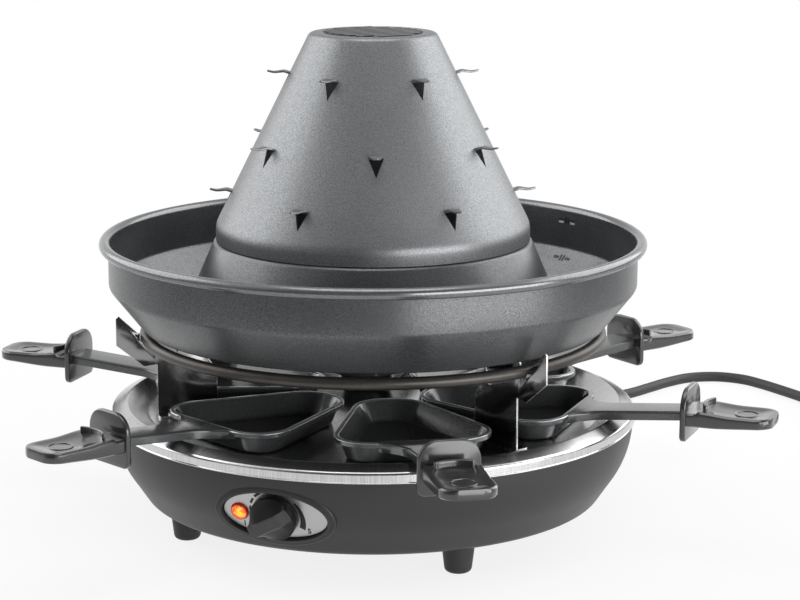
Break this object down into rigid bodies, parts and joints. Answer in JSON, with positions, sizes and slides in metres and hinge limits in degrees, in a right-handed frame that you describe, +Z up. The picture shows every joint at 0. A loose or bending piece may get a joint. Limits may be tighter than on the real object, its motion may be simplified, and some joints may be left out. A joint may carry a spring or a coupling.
{
  "type": "table raclette grill",
  "caption": "Round electric table raclette with mini pans under a heating ring, a broth pan and a spiked conical grilling hat.",
  "frame": {"origin": "on the axis of the round base, at table height", "axes": "+Z up, the control panel faces -Y, +X to the right seen from the front"},
  "size_m": [0.5556, 0.6169, 0.2817],
  "materials": {
    "housing_plastic": "fine moulded matte texture",
    "foot_plastic": "fine moulded matte texture",
    "screw_steel": "plated",
    "tray_steel": "brushed stainless",
    "stand_steel": "cut zinc-plated sheet with bright edges",
    "heater_tube": "dark oxidised satin tube",
    "ceramic": "unglazed",
    "brass": "plain",
    "plate_aluminium": "satin silver",
    "knob_plastic": "fine moulded matte texture",
    "shaft_steel": "turned",
    "thermostat_body": "moulded",
    "lamp_amber": "clear amber, lit",
    "lamp_holder": "moulded",
    "wire_brown": "insulated",
    "wire_black": "insulated",
    "wire_blue": "insulated",
    "wire_earth": "insulated",
    "pan_coating": "grey non-stick coating with fine metallic grain",
    "hat_coating": "grey non-stick coating with fine metallic grain",
    "mini_coating": "semi-gloss black non-stick coating",
    "grip_plastic": "fine moulded matte texture",
    "cord_rubber": "smooth sheath",
    "tie_plastic": "woven band",
    "plug_plastic": "moulded"
  },
  "bodies": {
    "base": {"base_housing": "housing_plastic", "foot_1": "foot_plastic", "foot_2": "foot_plastic", "foot_3": "foot_plastic", "foot_4": "foot_plastic", "foot_screws": "screw_steel", "steel_tray": "tray_steel", "tray_nuts": "screw_steel", "tray_screws": "screw_steel", "stand_right": "stand_steel", "stand_rear": "stand_steel", "stand_left": "stand_steel", "stand_rivets": "screw_steel", "heating_ring": "heater_tube", "ring_bushings": "ceramic", "heater_terminals": "brass", "control_plate": "plate_aluminium", "thermostat_body": "thermostat_body", "thermostat_nut": "brass", "lamp_lens": "lamp_amber", "lamp_holder": "lamp_holder", "terminal_block": "ceramic", "supply_wire": "wire_brown", "heater_wire": "wire_black", "neutral_wire": "wire_blue", "earth_wire": "wire_earth", "cord_grip": "cord_rubber", "cord_lead": "cord_rubber", "cord_coil": "cord_rubber", "cord_tail": "cord_rubber", "cord_tie": "tie_plastic", "plug_body": "plug_plastic", "plug_pins": "screw_steel"},
    "knob": {"control_knob": "knob_plastic", "thermostat_shaft": "shaft_steel"},
    "broth_pan": {"broth_pan": "pan_coating"},
    "hat": {"hat": "hat_coating"},
    "mini_pan_1": {"mini_pan_1": "mini_coating", "pan_grip_1": "grip_plastic", "grip_screw_1": "screw_steel"},
    "mini_pan_2": {"mini_pan_2": "mini_coating", "pan_grip_2": "grip_plastic", "grip_screw_2": "screw_steel"},
    "mini_pan_3": {"mini_pan_3": "mini_coating", "pan_grip_3": "grip_plastic", "grip_screw_3": "screw_steel"},
    "mini_pan_4": {"mini_pan_4": "mini_coating", "pan_grip_4": "grip_plastic", "grip_screw_4": "screw_steel"},
    "mini_pan_5": {"mini_pan_5": "mini_coating", "pan_grip_5": "grip_plastic", "grip_screw_5": "screw_steel"},
    "mini_pan_6": {"mini_pan_6": "mini_coating", "pan_grip_6": "grip_plastic", "grip_screw_6": "screw_steel"}
  },
  "joints": [
    {"name": "pan_lift", "type": "slide", "parent": "base", "child": "broth_pan", "axis": [0, 0, 1], "range_m": [0, 0.12]},
    {"name": "hat_lift", "type": "slide", "parent": "broth_pan", "child": "hat", "axis": [0, 0, 1], "range_m": [0, 0.12]},
    {"name": "knob_turn", "type": "hinge", "parent": "base", "child": "knob", "pos_m": [0, -0.1415, 0.04], "axis": [0, 0.9511, 0.309], "range_deg": [0, 270]},
    {"name": "mini_pan_draw_1", "type": "slide", "parent": "base", "child": "mini_pan_1", "axis": [0.5235, -0.8062, 0.2756], "range_m": [0, 0.14]},
    {"name": "mini_pan_draw_2", "type": "slide", "parent": "base", "child": "mini_pan_2", "axis": [0.9611, -0.0168, 0.2756], "range_m": [0, 0.14]},
    {"name": "mini_pan_draw_3", "type": "slide", "parent": "base", "child": "mini_pan_3", "axis": [0.5514, 0.7874, 0.2756], "range_m": [0, 0.14]},
    {"name": "mini_pan_draw_4", "type": "slide", "parent": "base", "child": "mini_pan_4", "axis": [-0.4214, 0.864, 0.2756], "range_m": [0, 0.14]},
    {"name": "mini_pan_draw_5", "type": "slide", "parent": "base", "child": "mini_pan_5", "axis": [-0.9607, -0.0335, 0.2756], "range_m": [0, 0.14]},
    {"name": "mini_pan_draw_6", "type": "slide", "parent": "base", "child": "mini_pan_6", "axis": [-0.4214, -0.864, 0.2756], "range_m": [0, 0.14]}
  ]
}
